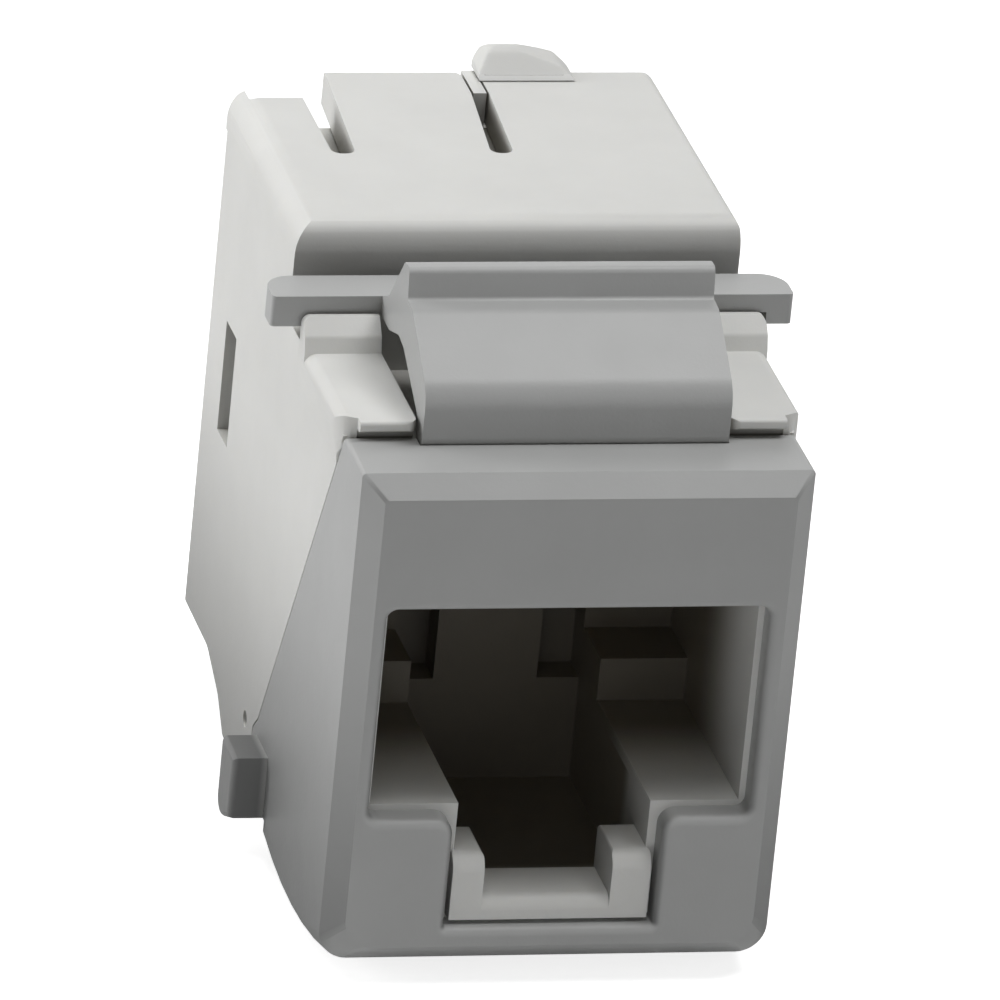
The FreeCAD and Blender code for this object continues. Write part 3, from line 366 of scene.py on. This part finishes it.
def combine(tree, operation, first, second):
    """Two values joined by a math operation; the second may be a number."""
    node = tree.nodes.new("ShaderNodeMath")
    node.operation = operation
    tree.links.new(first, node.inputs[0])
    if isinstance(second, float):
        node.inputs[1].default_value = second
    else:
        tree.links.new(second, node.inputs[1])
    return node.outputs[0]


def times(tree, *values):
    """The product of several values."""
    product = values[0]
    for value in values[1:]:
        product = combine(tree, "MULTIPLY", product, value)
    return product


def port_shade(tree, place):
    """Mask of painted shade: 0 outside the plug port, rising to 1 toward its dark far end and on
    its sunken floor.
    """
    x, y, z = along(tree, place)
    inside = combine(tree, "LESS_THAN", combine(tree, "ABSOLUTE", x, 0.0), PORT_HALF)
    under = combine(tree, "LESS_THAN", z, PORT_ROOF)
    before = combine(tree, "LESS_THAN", y, PORT_END)
    sunken = combine(tree, "LESS_THAN", z, PORT_SHELF)
    floor = times(tree, sunken, span(tree, y, FLOOR_DEPTHS))
    dark = combine(tree, "MAXIMUM", span(tree, y, PORT_DEPTHS), floor)
    return times(tree, inside, under, before, dark)


def darken(tree, colour, factor, dark):
    """Blend a colour toward a dark one by a factor."""
    node = tree.nodes.new("ShaderNodeMix")
    node.data_type = "RGBA"
    factor_socket, first_colour, second_colour = node.inputs[0], node.inputs[6], node.inputs[7]
    second_colour.default_value = dark
    tree.links.new(factor, factor_socket)
    tree.links.new(colour, first_colour)
    return node.outputs[2]


def hollow_shade(tree, ends):
    """Mask of painted shade: 1 in corners and recesses, falling to 0 where a surface lies open."""
    node = tree.nodes.new("ShaderNodeAmbientOcclusion")
    node.samples = HOLLOW_SAMPLES
    node.inputs["Distance"].default_value = HOLLOW_REACH
    return span(tree, node.outputs["AO"], ends)


def away_from_front(tree, place):
    """Where the painted corner shade applies: 0 at the open front face, rising to 1 behind it, and
    less on the raised shelves.
    """
    _, y, z = along(tree, place)
    raised = combine(tree, "GREATER_THAN", z, SHELF_HEIGHT)
    ahead = span(tree, y, SHELF_BACK[::-1])
    spared = times(tree, raised, ahead, SHELF_OPEN)
    return combine(tree, "SUBTRACT", span(tree, y, OPEN_FRONT), spared)


def fall_shade(tree, place):
    """Mask of painted shade: 0 on open faces, rising to 1 low on the sides, on the lugs and on the
    roof's front wall.
    """
    x, y, z = along(tree, place)
    facing = tree.nodes.new("ShaderNodeNewGeometry")
    normal_x, normal_y, _ = along(tree, facing.outputs["Normal"])
    sideways = span(tree, combine(tree, "ABSOLUTE", normal_x, 0.0), SIDEWAYS)
    down = times(tree, span(tree, z, SIDE_FALL), sideways)
    beyond = span(tree, combine(tree, "ABSOLUTE", x, 0.0), LUG_REACH)
    lug = times(tree, beyond, combine(tree, "LESS_THAN", z, LUG_TOP))
    forward = span(tree, normal_y, FORWARD)
    wall = times(tree, forward, span(tree, y, ROOF_WALL), ROOF_WALL_SHADE_SHARE)
    return combine(tree, "MAXIMUM", combine(tree, "MAXIMUM", down, lug), wall)


def plastic(name, colour, roughness, depth=GRAIN_DEPTH, subsurface=0.0, inner=None,
            open_from=HOLLOW_NONE):
    """Moulded plastic: a faint cloudy colour and a fine grain, with painted shade in its corners
    and recesses, low on its sides, on the lugs and on the roof's front wall, and deep in the port
    where a shade colour is given.
    """
    material, tree, shader, place = new_material(name)
    cloud = noise(tree, place, CLOUD_SCALE, 4.0, 0.6)
    tint = ramp(tree, cloud, [(0.3, shade(colour, 0.975)), (0.7, shade(colour, 1.025))])
    # Painted shade: the colour darkens in corners and recesses, low on the sides, on the lugs and
    # on the roof's front wall.
    deep = tuple(channel * share for channel, share in zip(colour[:3], HOLLOW_SHADE_SHARES)) + (1.0,)
    hollow_shade_mask = times(tree, hollow_shade(tree, (open_from, HOLLOW_FULL)), away_from_front(tree, place))
    tint = darken(tree, tint, hollow_shade_mask, deep)
    tint = darken(tree, tint, fall_shade(tree, place), shade(colour, FALL_SHADE_SHARE))
    # Painted shade deep in the plug port.
    if inner:
        tint = darken(tree, tint, port_shade(tree, place), inner)
    tree.links.new(tint, shader.inputs["Base Color"])
    patch = noise(tree, place, GLOSS_SCALE, 3.0, 0.6)
    gloss = spread(tree, patch, roughness - GLOSS_SWING, roughness + GLOSS_SWING)
    tree.links.new(gloss, shader.inputs["Roughness"])
    fine = noise(tree, place, FINE_GRAIN_SCALE, 2.0, 0.6)
    broad = noise(tree, place, BROAD_GRAIN_SCALE, 2.0, 0.5)
    grain_bump(tree, shader, [fine, broad], depth, GRAIN_STRENGTH)
    shader.inputs["IOR"].default_value = PLASTIC_IOR
    if subsurface:
        shader.inputs["Subsurface Weight"].default_value = subsurface
        shader.inputs["Subsurface Radius"].default_value = SUBSURFACE_DEPTHS
        shader.inputs["Subsurface Scale"].default_value = SUBSURFACE_REACH
    return material


def plated(name, colour, roughness):
    """Plated metal with fine drawn lines."""
    material, tree, shader, place = new_material(name)
    stretch = tree.nodes.new("ShaderNodeMapping")
    stretch.inputs["Scale"].default_value = (1.0, 0.08, 1.0)
    tree.links.new(place, stretch.inputs["Vector"])
    lines = noise(tree, stretch.outputs["Vector"], 16000.0, 3.0, 0.6)
    tint = ramp(tree, lines, [(0.2, shade(colour, 0.88)), (0.8, shade(colour, 1.08))])
    tree.links.new(tint, shader.inputs["Base Color"])
    rough = spread(tree, lines, roughness - 0.06, roughness + 0.08)
    tree.links.new(rough, shader.inputs["Roughness"])
    shader.inputs["Metallic"].default_value = 1.0
    grain_bump(tree, shader, [lines], 0.003 * MM, 0.4)
    return material


def board_coating(name, colour):
    """Solder mask over glass cloth, with paler copper tracks showing through."""
    material, tree, shader, place = new_material(name)
    tracks = tree.nodes.new("ShaderNodeTexBrick")
    tracks.inputs["Scale"].default_value = 420.0
    tracks.inputs["Mortar Size"].default_value = 0.012
    tracks.inputs["Color1"].default_value = shade(colour, 0.9)
    tracks.inputs["Color2"].default_value = shade(colour, 1.1)
    tracks.inputs["Mortar"].default_value = shade(colour, 2.1)
    turn = tree.nodes.new("ShaderNodeMapping")
    turn.inputs["Rotation"].default_value = (math.radians(90), 0.0, 0.0)
    tree.links.new(place, turn.inputs["Vector"])
    tree.links.new(turn.outputs["Vector"], tracks.inputs["Vector"])
    tree.links.new(tracks.outputs["Color"], shader.inputs["Base Color"])
    weave = noise(tree, place, 5200.0, 2.0, 0.5)
    grain_bump(tree, shader, [weave], 0.01 * MM, 0.3)
    shader.inputs["Roughness"].default_value = 0.28
    return material


# ----------------------------------------------------------------- operators

class JACK_OT_front_frame(bpy.types.Operator):
    """Grey front frame and its latch"""

    bl_idname = "jack.front_frame"
    bl_label = "Front frame"

    def execute(self, context):
        finish = finish_settings()
        grey = plastic("grey_plastic", finish.grey, 0.42, depth=0.012 * MM)
        moulded_copy("front_frame", "body", grey, finish.frame_edge)
        moulded_copy("latch", "latch", grey, finish.latch_edge)
        return {"FINISHED"}


class JACK_OT_jack_housing(bpy.types.Operator):
    """Light-grey jack housing with its port, shoulders and roof"""

    bl_idname = "jack.jack_housing"
    bl_label = "Jack housing"

    def execute(self, context):
        finish = finish_settings()
        # The housing's plastic also carries the painted shade deep in its port.
        light = plastic("light_plastic", finish.light, 0.48, subsurface=LIGHT_SUBSURFACE,
                        inner=tuple(finish.inner), open_from=HOUSING_HOLLOW_NONE)
        moulded_copy("jack_housing", "body", light, finish.edge)
        return {"FINISHED"}


class JACK_OT_wire_cap(bpy.types.Operator):
    """Wire cap with its cable hole, ribs and thumb tab"""

    bl_idname = "jack.wire_cap"
    bl_label = "Wire cap"

    def execute(self, context):
        finish = finish_settings()
        light = plastic("cap_plastic", finish.light, 0.46, subsurface=LIGHT_SUBSURFACE)
        cap = moulded_copy("wire_cap", "cap", light, finish.edge)
        pick(cap)
        bpy.ops.object.duplicate()
        knob = bpy.context.object
        knob.name = "thumb_knob"
        cut_off(cap, KNOB_FOOT + KNOB_LAP, False)
        cut_off(knob, KNOB_FOOT, True)
        round_off(knob, KNOB_FACET, KNOB_ROUNDS)
        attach(knob, "cap")
        return {"FINISHED"}


class JACK_OT_insides(bpy.types.Operator):
    """Carrier, contact springs, circuit board, terminal block and terminals"""

    bl_idname = "jack.insides"
    bl_label = "Insides"

    def execute(self, context):
        finish = finish_settings()
        dark = plastic("carrier_plastic", finish.carrier, 0.45)
        block = plastic("block_plastic", shade(finish.light, 0.9), 0.5)
        gold = plated("contact_plating", finish.gold, 0.22)
        tin = plated("terminal_plating", finish.tin, 0.32)
        moulded_copy("contact_carrier", "body", dark, CARRIER_EDGE)
        moulded_copy("terminal_block", "body", block, BLOCK_EDGE)
        dress("circuit_board", board_coating("board_coating", finish.mask))
        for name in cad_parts:
            if name.startswith("contact_spring"):
                dress(name, gold)
            if name.startswith("terminal_") and name != "terminal_block":
                dress(name, tin)
        return {"FINISHED"}


class JACK_OT_stage(bpy.types.Operator):
    """Pale floor, soft lamps, white surround and the camera"""

    bl_idname = "jack.stage"
    bl_label = "Stage"

    def execute(self, context):
        settings = stage_settings()
        self.floor(settings)
        self.world(context.scene)
        self.lamps()
        self.camera(context.scene, settings)
        return {"FINISHED"}

    def floor(self, settings):
        """A pale floor just under the jack."""
        low = CAD_BOX[0][2] - settings.floor_drop
        deselect()
        bpy.ops.mesh.primitive_plane_add(size=FLOOR_SIZE, location=(0, 0, low))
        floor = bpy.context.object
        floor.name = "floor"
        bpy.ops.object.transform_apply(location=True, rotation=True, scale=True)
        material, tree, shader, _ = new_material("pale_floor")
        shader.inputs["Base Color"].default_value = FLOOR_COLOUR
        shader.inputs["Roughness"].default_value = 0.9
        shader.inputs["Specular IOR Level"].default_value = 0.0
        self.lift_to_white(tree, shader)
        floor.data.materials.append(material)

    def lift_to_white(self, tree, shader):
        """Lift the floor that the camera sees to white, save where the jack shades it."""
        glow = tree.nodes.new("ShaderNodeEmission")
        glow.inputs["Color"].default_value = WHITE
        glow.inputs["Strength"].default_value = FLOOR_LIFT
        lifted = tree.nodes.new("ShaderNodeAddShader")
        tree.links.new(shader.outputs["BSDF"], lifted.inputs[0])
        tree.links.new(glow.outputs["Emission"], lifted.inputs[1])
        path = tree.nodes.new("ShaderNodeLightPath")
        mix = tree.nodes.new("ShaderNodeMixShader")
        tree.links.new(path.outputs["Is Camera Ray"], mix.inputs["Fac"])
        tree.links.new(shader.outputs["BSDF"], mix.inputs[1])
        tree.links.new(lifted.outputs["Shader"], mix.inputs[2])
        tree.links.new(mix.outputs["Shader"], tree.nodes["Material Output"].inputs["Surface"])

    def world(self, scene):
        """A faint even light that the camera and mirrors see as white."""
        world = bpy.data.worlds.new("studio")
        scene.world = world
        scene.view_settings.view_transform = "Standard"
        world.use_nodes = True
        tree = world.node_tree
        soft = tree.nodes["Background"]
        soft.inputs["Color"].default_value = WHITE
        soft.inputs["Strength"].default_value = WORLD_STRENGTH
        white = tree.nodes.new("ShaderNodeBackground")
        white.inputs["Color"].default_value = WHITE
        white.inputs["Strength"].default_value = 1.0
        path = tree.nodes.new("ShaderNodeLightPath")
        seen = path.outputs["Is Camera Ray"]
        for ray in ("Is Transmission Ray", "Is Glossy Ray"):
            seen = combine(tree, "MAXIMUM", seen, path.outputs[ray])
        mix = tree.nodes.new("ShaderNodeMixShader")
        tree.links.new(seen, mix.inputs["Fac"])
        tree.links.new(soft.outputs["Background"], mix.inputs[1])
        tree.links.new(white.outputs["Background"], mix.inputs[2])
        tree.links.new(mix.outputs["Shader"], tree.nodes["World Output"].inputs["Surface"])

    def lamps(self):
        """Soft round lamps, all aimed at the jack."""
        for name, place, size, power in LAMPS:
            data = bpy.data.lights.new(name, "AREA")
            data.shape = "DISK"
            data.size = size
            data.energy = power
            lamp = bpy.data.objects.new(name, data)
            bpy.context.scene.collection.objects.link(lamp)
            lamp.location = place
            lamp.visible_camera = False
            sight = Vector(LAMP_AIM) - Vector(place)
            lamp.rotation_euler = sight.to_track_quat("-Z", "Y").to_euler()

    def camera(self, scene, settings):
        """The camera, turned round the jack and about its own line of sight."""
        azimuth, elevation = settings.azimuth, settings.elevation
        back = Vector((math.sin(azimuth) * math.cos(elevation),
                       -math.cos(azimuth) * math.cos(elevation), math.sin(elevation)))
        level = (-back).cross(Vector((0, 0, 1))).normalized()
        above = level.cross(-back)
        cosine, sine = math.cos(settings.roll), math.sin(settings.roll)
        right = level * cosine + above * sine
        up = above * cosine - level * sine
        aim = Vector(AIM_PIVOT) + right * AIM_SHIFT[0] + up * AIM_SHIFT[1]
        data = bpy.data.cameras.new("camera")
        data.lens = settings.lens
        data.clip_start = 0.01
        camera = bpy.data.objects.new("camera", data)
        scene.collection.objects.link(camera)
        turn = Matrix((right, up, back)).transposed().to_4x4()
        camera.matrix_world = Matrix.Translation(aim + back * settings.distance) @ turn
        scene.camera = camera


class JACK_PT_panel(bpy.types.Panel):
    """Lists the jack's pieces and settings"""

    bl_label = "Keystone jack"
    bl_idname = "JACK_PT_panel"
    bl_space_type = "VIEW_3D"
    bl_region_type = "UI"
    bl_category = "Keystone jack"

    def draw(self, context):
        for group in (context.scene.jack_finish, context.scene.jack_stage):
            for name in group.bl_rna.properties.keys():
                if name not in ("rna_type", "name"):
                    self.layout.prop(group, name)
        for operator in OPERATORS:
            self.layout.operator(operator.bl_idname)


OPERATORS = (JACK_OT_front_frame, JACK_OT_jack_housing, JACK_OT_wire_cap, JACK_OT_insides,
             JACK_OT_stage)
CLASSES = (JACK_PG_finish, JACK_PG_stage) + OPERATORS + (JACK_PT_panel,)


def register():
    for cls in CLASSES:
        bpy.utils.register_class(cls)
    bpy.types.Scene.jack_finish = bpy.props.PointerProperty(type=JACK_PG_finish)
    bpy.types.Scene.jack_stage = bpy.props.PointerProperty(type=JACK_PG_stage)


def unregister():
    del bpy.types.Scene.jack_stage
    del bpy.types.Scene.jack_finish
    for cls in reversed(CLASSES):
        bpy.utils.unregister_class(cls)


def main():
    register()
    bpy.ops.jack.front_frame()
    bpy.ops.jack.jack_housing()
    bpy.ops.jack.wire_cap()
    bpy.ops.jack.insides()
    bpy.ops.jack.stage()


if __name__ == "__main__":
    main()
